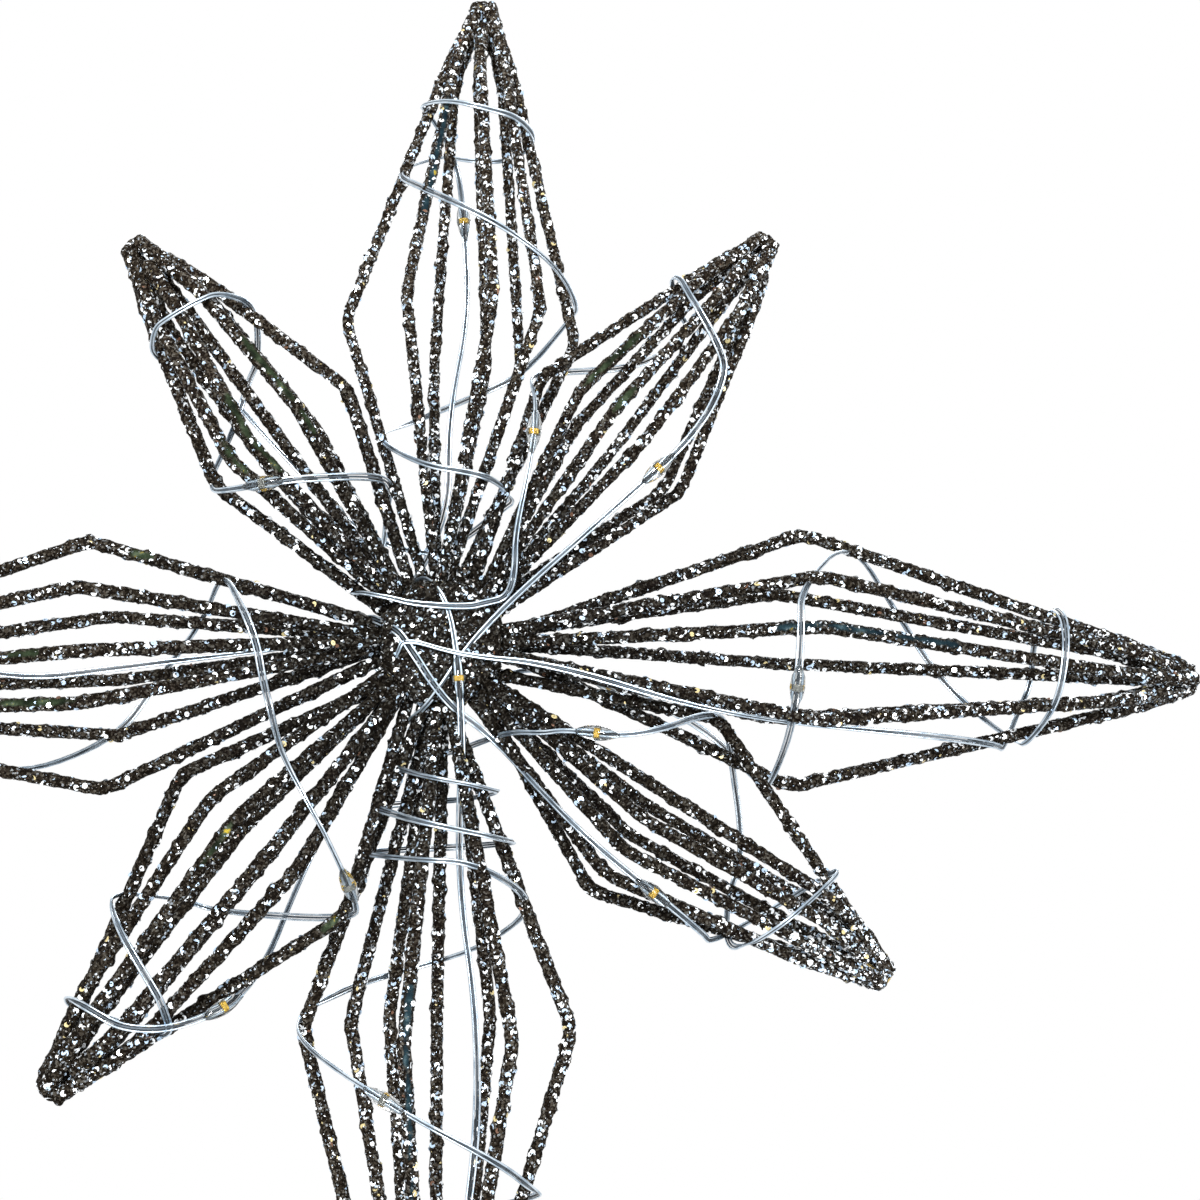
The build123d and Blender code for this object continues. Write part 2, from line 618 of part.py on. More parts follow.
def switch_slider():
    """Stem out through the side of the case, on a foot too long for its slot."""
    inner = CASE_INSIDE - SLIDE_GAP - SLIDER_FOOT
    deep = around(STEM_CENTRE, STEM_DEPTH)
    stem = block((inner, CASE_WIDTH / 2 + STEM_REACH), deep, (STEM_BOTTOM, STEM_BOTTOM + STEM_LENGTH))
    middle = STEM_BOTTOM + STEM_LENGTH / 2
    return stem + block((inner, inner + SLIDER_FOOT), deep, around(middle, SLIDER_FOOT_LENGTH))


def case_tie(height):
    """Closed loop of wire round the spiral and a lug's bar."""
    radius = LUG_DIAMETER / 2 + TIE_CLEARANCE + TIE_WIRE / 2
    front, back = SOCKET_RADIUS, LUG_CENTRE
    over, under = height + radius, height - radius
    loop = Wire([
        Line((0, front, over), (0, back, over)),
        ThreePointArc((0, back, over), (0, back + radius, height), (0, back, under)),
        Line((0, back, under), (0, front, under)),
        ThreePointArc((0, front, under), (0, front - radius, height), (0, front, over)),
    ])
    return tube(loop, TIE_WIRE)


route = string_route()
lamps = lamp_planes(route)
drop = lamp_drop()
chip = chip_block(0)

parts = {"hub_block": hub_block(), "spiral_socket": spiral_socket()}
for point in POINT_NAMES:
    parts[point + "_wires"] = cage(point)
    parts[point + "_tip_bead"] = tip_bead(point)
parts["light_string"] = light_string(route)
parts["lamp_drops"] = Compound(children=[plane * drop for plane in lamps])
parts["lamp_chips"] = Compound(children=[plane * chip for plane in lamps])
parts["battery_case"] = battery_case()
parts["battery_cover"] = battery_cover()
parts["coin_cells"] = coin_cells()
parts["cell_spring"] = cell_spring()
parts["cell_clip"] = cell_clip()
parts["switch_body"] = switch_body()
parts["switch_slider"] = switch_slider()
parts["case_ties"] = Compound(children=[case_tie(height) for height in LUG_HEIGHTS])

os.makedirs("parts", exist_ok=True)
for node, shape in parts.items():
    export_step(shape, f"parts/{node}.step")
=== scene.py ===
import math

import bmesh
import bpy
from mathutils import Matrix, Vector, noise as field


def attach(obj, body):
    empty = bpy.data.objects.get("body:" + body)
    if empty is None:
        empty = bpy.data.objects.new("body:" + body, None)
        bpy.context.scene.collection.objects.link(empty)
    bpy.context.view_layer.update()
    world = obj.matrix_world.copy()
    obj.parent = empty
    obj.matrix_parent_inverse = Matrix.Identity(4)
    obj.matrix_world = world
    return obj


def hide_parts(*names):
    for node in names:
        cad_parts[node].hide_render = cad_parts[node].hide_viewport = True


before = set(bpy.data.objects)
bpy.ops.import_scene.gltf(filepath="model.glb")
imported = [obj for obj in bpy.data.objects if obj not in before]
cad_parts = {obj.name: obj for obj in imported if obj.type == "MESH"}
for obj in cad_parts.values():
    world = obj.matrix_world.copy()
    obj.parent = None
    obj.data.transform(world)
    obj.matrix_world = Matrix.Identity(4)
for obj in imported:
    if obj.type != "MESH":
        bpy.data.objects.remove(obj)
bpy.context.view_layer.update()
MM = 0.001

# Star, as in the part's source
STAR_MIDDLE = Vector((0, 0, 0.2412))
POINTS = ["east", "north_east", "north", "north_west", "west", "south_west", "south", "south_east"]
LONG_POINTS = ["east", "north", "west", "south"]
POINT_SPACING, WIRE_SPACING = 45, 45
LONG_LENGTH, SHORT_LENGTH = 152 * MM, 108 * MM
LONG_GIRTH, SHORT_GIRTH = 25.5 * MM, 19.5 * MM
FLARE_START, FLARE_RING = 12.8456 * MM, 3.3331 * MM
GATHER_LENGTH, GATHER_RING, TIP_RING = 16 * MM, 7.4 * MM, 1.7253 * MM
SWING_ANGLES = {
    "east": -2.1, "north_east": 6.5, "north": -3.2, "north_west": -6.9,
    "west": 4.3, "south_west": 5.0, "south": 0.0, "south_east": 8.0,
}
LEAN_ANGLES = {
    "east": -2.0, "north_east": 2.0, "north": -3.0, "north_west": 1.0,
    "west": 0.0, "south_west": 5.0, "south": 0.0, "south_east": 3.0,
}
LENGTH_SHARES = {
    "east": 1.045, "north_east": 1.0, "north": 0.915, "north_west": 0.95,
    "west": 0.975, "south_west": 1.05, "south": 1.2, "south_east": 1.03,
}
GIRTH_SHARES = {
    "east": 1.025, "north_east": 0.955, "north": 0.945, "north_west": 0.85,
    "west": 0.97, "south_west": 1.09, "south": 1.045, "south_east": 1.1,
}
BEND_SHARES = {
    "east": 0.46, "north_east": 0.51, "north": 0.475, "north_west": 0.515,
    "west": 0.46, "south_west": 0.47, "south": 0.42, "south_east": 0.485,
}
WIRE_ANGLES = {
    "east": [-176, -141, -80, -34, -9, 32, 92, 156],
    "north_east": [-154, -77, -30, -4, 22, 92, 124, 176],
    "north": [-166, -86, -28, 14, 40, 96, 147, 166],
    "north_west": [-162, -90, -44, -23, 17, 85, 152, 178],
    "west": [-149, -92, -22, 1, 32, 81, 150, 182],
    "south_west": [-178, -82, -25, -8, 16, 35, 83, 161],
    "south": [-180, -155, -86, -32, 13, 97, 138, 158],
    "south_east": [-178, -80, -3, 14, 34, 55, 92, 162],
}

# Ring that the south wires keep to on their way into the socket
SOUTH_RING = 2.9 * MM

# String of lamps: leads, route and the lamps' places
# Width of the leads, their spacing, and width of the dark strip between them, which is painted shade
LEAD_WIDTH, LEAD_SPACING, GAP_SHADE_WIDTH = 0.44 * MM, 0.88 * MM, 0.42 * MM
STRING_STANDOFF = 2.7 * MM
STRING_START = Vector((-6.0, 23.65, 47.7)) * MM
STRING_HOLE = Vector((-6.0, 23.65, 63.7)) * MM
# A wire that the string crosses gets a stop of its own, unless another stop is within so many degrees
CLOSE_ANGLE = 14
# Uneven lay of the leads: size, pace a metre and start of each wave
TWIST_WAVES = [(0.5, 47, 0), (0.5, 19, 1)]
SPREAD_WAVES = [(0.25, 83, 0), (0.15, 31, 0)]
FLAT_PULL = 0.6
# Point, share of the cage's girth that the string keeps to, and its stops: turn and share of the length
ROUTE_SHARES = [
    ("south", 1, [(150, 0.90), (350, 0.74), (660, 0.58), (780, 0.43), (895, 0.36), (1055, 0.24),
                  (1385, 0.217), (1515, 0.182), (1740, 0.163), (2040, 0.11)]),
    ("south_east", 1, [(40, 0.20), (0, 0.28), (-20, 0.39), (-115, 0.53), (-165, 0.68), (-350, 0.79),
                       (-425, 0.82), (-545, 0.78), (-655, 0.69), (-680, 0.46), (-670, 0.33),
                       (-630, 0.17)]),
    ("south", 1, [(-10, 0.07)]),
    ("west", 1, [(10, 0.05), (90, 0.10), (180, 0.10), (270, 0.08), (370, 0.05)]),
    ("south_east", 1, [(0, 0.05)]),
    ("east", 1, [(24, 0.14), (38, 0.35), (42, 0.60), (65, 0.72), (175, 0.81), (310, 0.80), (470, 0.77),
                 (515, 0.73), (695, 0.43), (830, 0.43), (870, 0.35), (895, 0.11)]),
    ("south", 1, [(190, 0.08), (100, 0.09), (20, 0.07)]),
    ("north_east", 1, [(45, 0.07), (40, 0.40), (50, 0.60), (50, 0.73), (-55, 0.82), (-170, 0.80),
                       (-165, 0.69), (-110, 0.54), (-50, 0.45), (-10, 0.24), (45, 0.14), (0, 0.08)]),
    ("north_west", 1, [(0, 0.09), (-60, 0.17), (-120, 0.20), (-195, 0.22), (-230, 0.29), (-335, 0.35),
                       (-415, 0.47), (-520, 0.62), (-550, 0.68), (-680, 0.80), (-765, 0.82), (-885, 0.75),
                       (-895, 0.58), (-905, 0.27)]),
    ("north", 1, [(-170, 0.14), (-240, 0.22), (-385, 0.24), (-510, 0.36), (-610, 0.53), (-670, 0.55),
                  (-870, 0.79), (-1075, 0.79), (-1195, 0.84), (-1245, 0.79)]),
    ("north", 0.6, [(-175, 0.66), (175, 0.53), (190, 0.36)]),
    ("north", 1, [(180, 0.20)]),
    ("west", 1, [(150, 0.08), (170, 0.22)]),
    ("west", 0.7, [(175, 0.40), (185, 0.62)]),
    ("west", 1, [(115, 0.77), (-45, 0.86), (-200, 0.80), (-345, 0.71), (-450, 0.60), (-570, 0.33),
                 (-715, 0.24), (-775, 0.23)]),
    ("south_west", 1, [(35, 0.33), (-65, 0.44), (-180, 0.61), (-300, 0.71), (-445, 0.81), (-595, 0.88),
                       (-740, 0.84), (-785, 0.78), (-810, 0.66), (-880, 0.45), (-900, 0.16)]),
    ("west", 1, [(-150, 0.07)]),
    ("north", 1, [(-90, 0.10), (-15, 0.08)]),
    ("south", 1, [(-25, -0.02), (-35, 0.10)]),
    ("south", 0.4, [(-35, 0.26), (-50, 0.40), (-90, 0.55), (-40, 0.70), (-60, 0.80)]),
]
# Lamps: point, turn and share of the length
LAMP_SHARES = [
    ("south", 20, 0.47), ("south_east", -10, 0.33), ("south_east", 55, 0.56), ("east", 20, 0.42),
    ("north_east", 45, 0.50), ("north_east", -40, 0.405), ("north_west", -35, 0.45),
    ("north_west", 150, 0.36), ("north", -175, 0.66), ("south_west", -78, 0.72), ("south_west", -55, 0.45),
    ("south", -30, 0.04), ("south", 150, 0.85), ("east", 165, 0.23), ("west", 115, 0.77),
    ("west", -200, 0.80), ("west", -345, 0.71), ("south", 0, 0.74), ("south", 180, 0.64),
    ("south", -50, 0.75),
]
# Share of a run of the route that a lamp keeps off at its ends, and least likeness of their headings
LAMP_RUN_SHARE, SAME_HEADING = 0.2, 0.8
BACKWARD_LAMPS = [0, 3, 6, 10]
DROP_LENGTH, DROP_DIAMETER, DROP_SIDES = 9 * MM, 3.1 * MM, 14
DROP_OUTLINE = [
    (1.0, 0.0), (0.97, 0.24), (0.8, 0.42), (0.45, 0.78), (0.0, 1.0), (-0.5, 0.84), (-0.82, 0.5),
    (-0.97, 0.26), (-1.0, 0.0),
]
CHIP_CAP = (1.5 * MM, 1.1 * MM, 0.75 * MM)
CHIP_FOOT = (1.6 * MM, 1.3 * MM, 0.5 * MM)
CHIP_BEVEL = 0.12 * MM

# Glitter coat: evenness of its mesh, rise of its grit and nubs, and depth of the bare paint
COAT_GRAIN, BEAD_GRAIN = 0.5 * MM, 0.4 * MM
WIRE_SWELL, WIRE_SUNK, WIRE_NUBS = 0.9 * MM, 0.38, 2.6 * MM
HUB_SWELL, HUB_SUNK, HUB_NUBS = 1.6 * MM, 0.62, 1.5 * MM
GRIT_SCALE, NUB_SCALE, NUB_LEVEL = 750, 330, 0.57
PAINT_DEPTH = 0.16 * MM
# Flakes: number a square metre, least and most radius, sides and dullest tint
FLAKES = [
    (1.6e6, 0.12 * MM, 0.2 * MM, 4, 0.0),
    (0.45e6, 0.22 * MM, 0.36 * MM, 6, 0.52),
    (0.2e6, 0.42 * MM, 0.64 * MM, 8, 0.83),
]
FLAKE_TILT, FLAKE_SPIN, FLAKE_LIFT_SHARE = 0.34, 6.28, 0.38
BARE_FLAKE_SHARE = 0.22

# The crust is deeper and brighter at the tips. Towards the hub it is duller and darker, which is painted
# shade, and each point's crust is made brighter or darker by how light falls on it, which is painted light
# and shade
HEAP_START, HEAP_DEPTH, HEAP_TOP = 20 * MM, 0.35 * MM, 1.25
SPARKLE_REACH, SPARKLE_TOP = 26 * MM, 1.3
SPARKLE_RAGGEDNESS, SPARKLE_NOISE_SCALE = 0.6, 200
# Painted shade towards the hub: its reach, the share of flakes it takes away, and how fast it darkens the
# coat
PAINTED_SHADE_REACH, PAINTED_SHADE_FLAKE_SHARE, PAINTED_SHADE_GROWTH = 75 * MM, 0.15, 1.6
TIP_SPARKLE_SHARES = {"east": 0.9, "north_east": 0.4, "south_east": 2.0, "south_west": 0.3}
# Painted light and shade on each point: more or fewer flakes by how light falls on it
POINT_PAINTED_LIGHT_SHARES = {"east": -0.22, "north_east": -0.08, "north": 0.24, "north_west": -0.3, "west": -0.3,
                        "south_west": -0.46, "south": 0.0, "south_east": -0.44}
# Painted shade on each point: how far its coat is darkened
PAINTED_SHADE_SHARES = {"east": 0.65, "north_east": 0.3, "north": 0.0, "north_west": 0.25, "west": 0.45,
               "south_west": 0.6, "south": 0.4, "south_east": 0.65}
# Painted shade on the hub: fewer flakes
HUB_PAINTED_SHADE_SHARE = -0.3
THIN_CRUST_SHARES = {"north": 0.5, "north_east": 0.45, "south_east": 0.2}
GLITTERED_BEADS = ["north_east", "north", "north_west", "west", "south_west", "south"]

# Strip down the front of a wire where the glitter has come off
BARE_REACH = 2.1 * MM
BARE_SIDE = Vector((0.3, -0.9, 0.3))
BARE_RAGGEDNESS, BARE_NOISE_SCALE = 0.5, 300
BARE_FACING, BARE_LEVEL, BARE_EDGE = 2.2, 2.08, 4
BARE_FADE, BARE_FADE_SHARE = 2.0, 0.15
OLIVE_POINTS = ["north_east", "north_west", "west", "south_west"]
# Stretches of it: point, wire, half of the wire, and from where to where
BARE_STRETCHES = [
    ("north", 2, "outer", 0.27, 0.83), ("east", 4, "outer", 0.0, 0.45), ("east", 4, "inner", 0.85, 1.0),
    ("south", 4, "inner", 0.84, 1.0), ("south", 4, "outer", 0.0, 0.55),
    ("north_east", 2, "outer", 0.0, 0.5), ("north_east", 3, "outer", 0.0, 0.2),
    ("south_west", 4, "outer", 0.02, 0.24),
    ("north_west", 4, "outer", 0.0, 0.55), ("north_west", 4, "inner", 0.85, 1.0),
    ("north_west", 3, "outer", 0.0, 0.35), ("north_west", 3, "inner", 0.8, 1.0),
    ("north_west", 2, "outer", 0.0, 0.15), ("north_west", 2, "inner", 0.9, 1.0),
    ("west", 2, "outer", 0.0, 0.26), ("west", 3, "outer", 0.1, 0.2), ("west", 5, "inner", 0.78, 0.86),
    ("south_west", 1, "outer", 0.02, 0.12),
]

# Camera, where the photograph was taken from, and the stage
CAMERA_SENSOR, CAMERA_LENS = 36, 56.1
CAMERA_OFFSET = Vector((0, -377.92, -39.72)) * MM
AIM_OFFSET = Vector((32.3, 0, 9.13)) * MM
FLOOR_REACH, FLOOR_LEVEL, FLOOR_WASH = 0.9, -0.06, 0.65
SKY_STRENGTH = 0.32


def point_length(name):
    return (LONG_LENGTH if name in LONG_POINTS else SHORT_LENGTH) * LENGTH_SHARES[name]


def point_girth(name):
    return (LONG_GIRTH if name in LONG_POINTS else SHORT_GIRTH) * GIRTH_SHARES[name]


def spot(name, along, out, around):
    """A place round a point's axis: so far along it, so far out from it, turned so many degrees."""
    turn = math.radians(POINTS.index(name) * POINT_SPACING + SWING_ANGLES[name])
    lean = math.radians(LEAN_ANGLES[name])
    axis = Vector((math.cos(turn) * math.cos(lean), -math.sin(lean), math.sin(turn) * math.cos(lean)))
    front = Vector((0, -1, 0))
    front = (front - axis * front.dot(axis)).normalized()
    side = axis.cross(front)
    around = math.radians(around)
    return STAR_MIDDLE + axis * along + front * (out * math.cos(around)) + side * (out * math.sin(around))


def gather_ring(name):
    """Distance of a point's wires from their axis where they gather, least where they enter the socket."""
    return SOUTH_RING if name == "south" else GATHER_RING


def cage_girth(name, along):
    """Distance of a cage's wires from their axis, so far along it."""
    length = point_length(name)
    stops = [FLARE_START, length * BEND_SHARES[name], length - GATHER_LENGTH, length]
    girths = [FLARE_RING, point_girth(name), gather_ring(name), TIP_RING]
    along = min(max(along, stops[0]), stops[-1])
    for low, high, start, end in zip(stops, stops[1:], girths, girths[1:]):
        if along <= high:
            return start + (end - start) * (along - low) / (high - low)


# Materials
def material(name):
    made = bpy.data.materials.new(name)
    made.use_nodes = True
    return made, made.node_tree, made.node_tree.nodes["Principled BSDF"]


def node(tree, kind, **settings):
    made = tree.nodes.new(kind)
    for key, value in settings.items():
        setattr(made, key, value)
    return made


def feed(tree, socket, value):
    """Links a socket to another, or sets it."""
    if isinstance(value, bpy.types.NodeSocket):
        tree.links.new(value, socket)
    else:
        socket.default_value = value


def math_node(tree, operation, first, second):
    made = node(tree, "ShaderNodeMath", operation=operation)
    feed(tree, made.inputs[0], first)
    feed(tree, made.inputs[1], second)
    return made.outputs[0]


def ramp(tree, source, stops, interpolation="LINEAR"):
    made = node(tree, "ShaderNodeValToRGB")
    made.color_ramp.interpolation = interpolation
    while len(made.color_ramp.elements) < len(stops):
        made.color_ramp.elements.new(0.5)
    for element, (place, colour) in zip(made.color_ramp.elements, stops):
        element.position = place
        element.color = (*colour, 1)
    feed(tree, made.inputs[0], source)
    return made.outputs[0]


def noise(tree, scale, detail=3.0, kind="ShaderNodeTexNoise"):
    place = node(tree, "ShaderNodeTexCoord").outputs["Object"]
    made = node(tree, kind)
    feed(tree, made.inputs["Vector"], place)
    made.inputs["Scale"].default_value = scale
    if kind == "ShaderNodeTexNoise":
        made.inputs["Detail"].default_value = detail
    return made


def bump(tree, shader, height, strength, distance):
    made = node(tree, "ShaderNodeBump")
    made.inputs["Strength"].default_value = strength
    made.inputs["Distance"].default_value = distance
    feed(tree, made.inputs["Height"], height)
    feed(tree, shader.inputs["Normal"], made.outputs["Normal"])


def attribute(tree, name):
    """A number that a mesh keeps for each corner."""
    return node(tree, "ShaderNodeAttribute", attribute_name=name).outputs["Fac"]


def mix(tree, share, first, second, blend="MIX"):
    """Two colours mixed, or the first one multiplied by the second."""
    made = node(tree, "ShaderNodeMix", data_type="RGBA", blend_type=blend)
    feed(tree, made.inputs["Factor"], share)
    feed(tree, made.inputs["A"], first)
    feed(tree, made.inputs["B"], second)
    return made.outputs["Result"]


def crust_material():
    """Dark brown lacquer full of fine grains, with bare paint where the coat is gone, and painted shade
    darkening the coat where the mesh marks it.
    """
    made, tree, shader = material("glitter_crust")
    grains = noise(tree, 2600, kind="ShaderNodeTexVoronoi")
    grain = node(tree, "ShaderNodeSeparateColor")
    feed(tree, grain.inputs[0], grains.outputs["Color"])
    coat = ramp(tree, grain.outputs[0], [
        (0.0, (0.006, 0.0038, 0.0022)), (0.48, (0.019, 0.0138, 0.0088)), (0.7, (0.052, 0.042, 0.031)),
        (0.87, (0.1, 0.09, 0.074)), (0.965, (0.24, 0.25, 0.26)), (0.99, (0.7, 0.74, 0.78))], "CONSTANT")
    shade = noise(tree, 420).outputs["Fac"]
    teal = ramp(tree, shade, [
        (0.35, (0.004, 0.01, 0.015)), (0.58, (0.012, 0.028, 0.036)), (0.68, (0.05, 0.085, 0.1)),
        (0.72, (0.34, 0.26, 0.03))])
    olive = ramp(tree, shade, [
        (0.35, (0.006, 0.009, 0.005)), (0.58, (0.022, 0.033, 0.017)), (0.68, (0.06, 0.08, 0.048)),
        (0.72, (0.34, 0.26, 0.03))])
    paint = mix(tree, attribute(tree, "olive"), teal, olive)
    # Painted shade: the coat is multiplied darker by a mark stored on the mesh, towards the hub and on
    # points in shade
    shaded_coat = mix(tree, attribute(tree, "painted_shade"), coat, (0.42, 0.46, 0.5, 1), "MULTIPLY")
    feed(tree, shader.inputs["Base Color"], mix(tree, attribute(tree, "bare"), shaded_coat, paint))
    shader.inputs["Specular IOR Level"].default_value = 0.03
    shader.inputs["Roughness"].default_value = 0.5
    bump(tree, shader, grains.outputs["Distance"], 0.5, 0.2 * MM)
    return made


def flake_material():
    """Cut foil: mostly silver, some bluish, a few gold and copper; its spread from near black to white is
    partly painted glint, flakes that catch or miss the light.
    """
    made, tree, shader = material("glitter_flake")
    # Painted glint: dark and white tints stand for flakes that miss or catch the light
    colour = ramp(tree, attribute(tree, "flake_tint"), [
        (0.0, (0.005, 0.0035, 0.0025)), (0.32, (0.028, 0.022, 0.016)), (0.52, (0.075, 0.067, 0.056)),
        (0.67, (0.17, 0.185, 0.19)), (0.77, (0.36, 0.45, 0.54)), (0.83, (0.5, 0.65, 0.82)),
        (0.872, (0.6, 0.5, 0.25)), (0.88, (0.14, 0.07, 0.042)), (0.886, (0.93, 0.97, 1.0))], "CONSTANT")
    feed(tree, shader.inputs["Base Color"], colour)
    shader.inputs["Metallic"].default_value = 0.3
    rough = ramp(tree, noise(tree, 900).outputs["Fac"], [(0.3, (0.15,) * 3), (0.7, (0.4,) * 3)])
    feed(tree, shader.inputs["Roughness"], rough)
    return made


def braze_material():
    made, tree, shader = material("braze")
    patches = noise(tree, 900, 5)
    colour = ramp(tree, patches.outputs["Fac"], [
        (0.3, (0.12, 0.09, 0.05)), (0.48, (0.5, 0.36, 0.12)), (0.7, (0.78, 0.62, 0.3))])
    feed(tree, shader.inputs["Base Color"], colour)
    shader.inputs["Metallic"].default_value = 0.8
    shader.inputs["Roughness"].default_value = 0.35
    bump(tree, shader, patches.outputs["Fac"], 0.4, 0.3 * MM)
    return made


def resin_material():
    """Clear resin, a little cloudy in places."""
    made, tree, shader = material("clear_resin")
    cloud = noise(tree, 700, 2).outputs["Fac"]
    clear = (0.64, 0.67, 0.68)
    dull = [channel * 0.93 for channel in clear]
    feed(tree, shader.inputs["Base Color"], ramp(tree, cloud, [(0.35, dull), (0.65, clear)]))
    shader.inputs["Transmission Weight"].default_value = 1.0
    shader.inputs["IOR"].default_value = 1.46
    shader.inputs["Roughness"].default_value = 0.04
    bump(tree, shader, cloud, 0.1, 0.05 * MM)
    return made


def lead_material():
    """Silver wire under a thin clear sleeve."""
    made, tree, shader = material("silver_lead")
    tarnish = noise(tree, 300).outputs["Fac"]
    colour = ramp(tree, tarnish, [(0.35, (0.4, 0.5, 0.6)), (0.6, (0.74, 0.84, 0.93))])
    feed(tree, shader.inputs["Base Color"], colour)
    shader.inputs["Metallic"].default_value = 1.0
    shader.inputs["Roughness"].default_value = 0.28
    return made


def painted_gap_shade_material():
    """Painted shade: a dark strip in the groove between two leads, standing for the shadow there."""
    made, tree, shader = material("lead_gap_painted_shade")
    shade = noise(tree, 200).outputs["Fac"]
    colour = ramp(tree, shade, [(0.35, (0.015, 0.021, 0.027)), (0.65, (0.1, 0.12, 0.14))])
    feed(tree, shader.inputs["Base Color"], colour)
    shader.inputs["Specular IOR Level"].default_value = 0.2
    shader.inputs["Roughness"].default_value = 0.4
    return made


def grained_material(name, dark, light, roughness, metallic=0.0, scale=1800):
    """Fine-grained solid finish, such as moulded plastic or drawn metal."""
    made, tree, shader = material(name)
    grain = noise(tree, scale, 6).outputs["Fac"]
    feed(tree, shader.inputs["Base Color"], ramp(tree, grain, [(0.35, dark), (0.65, light)]))
    shader.inputs["Metallic"].default_value = metallic
    shader.inputs["Roughness"].default_value = roughness
    bump(tree, shader, grain, 0.15, 0.06 * MM)
    return made


def seen_rays(tree):
    """1 for what the camera sees, straight, through clear pieces or mirrored in shiny ones."""
    rays = node(tree, "ShaderNodeLightPath").outputs
    straight = math_node(tree, "MAXIMUM", rays["Is Camera Ray"], rays["Is Transmission Ray"])
    return math_node(tree, "MAXIMUM", straight, rays["Is Glossy Ray"])


def floor_material():
    """White floor that shows pale to the camera and still takes a soft shadow."""
    made = grained_material("floor", (0.86, 0.86, 0.86), (0.9, 0.9, 0.9), 0.7, 0.0, 4)
    tree = made.node_tree
    glow = node(tree, "ShaderNodeEmission")
    glow.inputs["Color"].default_value = (1, 1, 1, 1)
    glow.inputs["Strength"].default_value = 1.0
    part_shown = math_node(tree, "MULTIPLY", seen_rays(tree), FLOOR_WASH)
    washed = node(tree, "ShaderNodeMixShader")
    feed(tree, washed.inputs[0], part_shown)
    feed(tree, washed.inputs[1], tree.nodes["Principled BSDF"].outputs[0])
    feed(tree, washed.inputs[2], glow.outputs[0])
    feed(tree, tree.nodes["Material Output"].inputs["Surface"], washed.outputs[0])
    return made


def studio_world():
    """Soft light from all round, and plain white for what the camera sees."""
    made = bpy.data.worlds.new("studio")
    made.use_nodes = True
    tree = made.node_tree
    soft = tree.nodes["Background"]
    soft.inputs["Color"].default_value = (0.95, 0.97, 1.0, 1)
    soft.inputs["Strength"].default_value = SKY_STRENGTH
    plain = node(tree, "ShaderNodeBackground")
    plain.inputs["Color"].default_value = (1, 1, 1, 1)
    plain.inputs["Strength"].default_value = 1.0
    shown = node(tree, "ShaderNodeMixShader")
    feed(tree, shown.inputs[0], seen_rays(tree))
    feed(tree, shown.inputs[1], soft.outputs[0])
    feed(tree, shown.inputs[2], plain.outputs[0])
    feed(tree, tree.nodes["World Output"].inputs["Surface"], shown.outputs[0])
    return made


# Glitter coat
def named_value(tree, name):
    """A number that a mesh keeps for each corner, as the coat reads it."""
    made = node(tree, "GeometryNodeInputNamedAttribute", data_type="FLOAT")
    made.inputs["Name"].default_value = name
    return made.outputs[0]


def field_noise(tree, scale, detail):
    made = node(tree, "ShaderNodeTexNoise")
    made.inputs["Scale"].default_value = scale
    made.inputs["Detail"].default_value = detail
    return made.outputs[0]


def random_vector(tree, low, high, seed):
    made = node(tree, "FunctionNodeRandomValue", data_type="FLOAT_VECTOR")
    made.inputs[0].default_value = low
    made.inputs[1].default_value = high
    made.inputs["Seed"].default_value = seed
    return made.outputs[0]


def flake_layer(tree, surface, density, layer, seed, finish):
    """One size of flakes scattered over a surface, each with its own tilt, size and tint."""
    small, large, sides, dullest = layer
    scatter = node(tree, "GeometryNodeDistributePointsOnFaces")
    feed(tree, scatter.inputs["Mesh"], surface)
    feed(tree, scatter.inputs["Density"], density)
    scatter.inputs["Seed"].default_value = seed
    disc = node(tree, "GeometryNodeMeshCircle", fill_type="NGON")
    disc.inputs["Vertices"].default_value = sides
    disc.inputs["Radius"].default_value = 1.0
    tilt_low, tilt_high = (-FLAKE_TILT, -FLAKE_TILT, 0.0), (FLAKE_TILT, FLAKE_TILT, FLAKE_SPIN)
    turned = node(tree, "FunctionNodeEulerToRotation")
    feed(tree, turned.inputs[0], random_vector(tree, tilt_low, tilt_high, seed + 10))
    facing = node(tree, "FunctionNodeRotateRotation", rotation_space="LOCAL")
    feed(tree, facing.inputs[0], scatter.outputs["Rotation"])
    feed(tree, facing.inputs[1], turned.outputs[0])
    flakes = node(tree, "GeometryNodeInstanceOnPoints")
    feed(tree, flakes.inputs["Points"], scatter.outputs["Points"])
    feed(tree, flakes.inputs["Instance"], disc.outputs[0])
    feed(tree, flakes.inputs["Rotation"], facing.outputs[0])
    feed(tree, flakes.inputs["Scale"], random_vector(tree, (small,) * 3, (large,) * 3, seed + 20))
    lifted = node(tree, "GeometryNodeTranslateInstances")
    feed(tree, lifted.inputs["Instances"], flakes.outputs[0])
    lifted.inputs["Translation"].default_value = (0, 0, FLAKE_LIFT_SHARE * small)
    # Each flake's tint, which is partly painted glint
    tint = node(tree, "FunctionNodeRandomValue", data_type="FLOAT")
    tint.inputs["Seed"].default_value = seed + 30
    tint.inputs[2].default_value = dullest
    tint.inputs[3].default_value = 1.0
    stored = node(tree, "GeometryNodeStoreNamedAttribute", data_type="FLOAT", domain="INSTANCE")
    feed(tree, stored.inputs["Geometry"], lifted.outputs[0])
    stored.inputs["Name"].default_value = "flake_tint"
    feed(tree, stored.inputs["Value"], tint.outputs[1])
    real = node(tree, "GeometryNodeRealizeInstances")
    feed(tree, real.inputs[0], stored.outputs[0])
    foil = node(tree, "GeometryNodeSetMaterial")
    feed(tree, foil.inputs["Geometry"], real.outputs[0])
    foil.inputs["Material"].default_value = finish
    return foil.outputs[0]


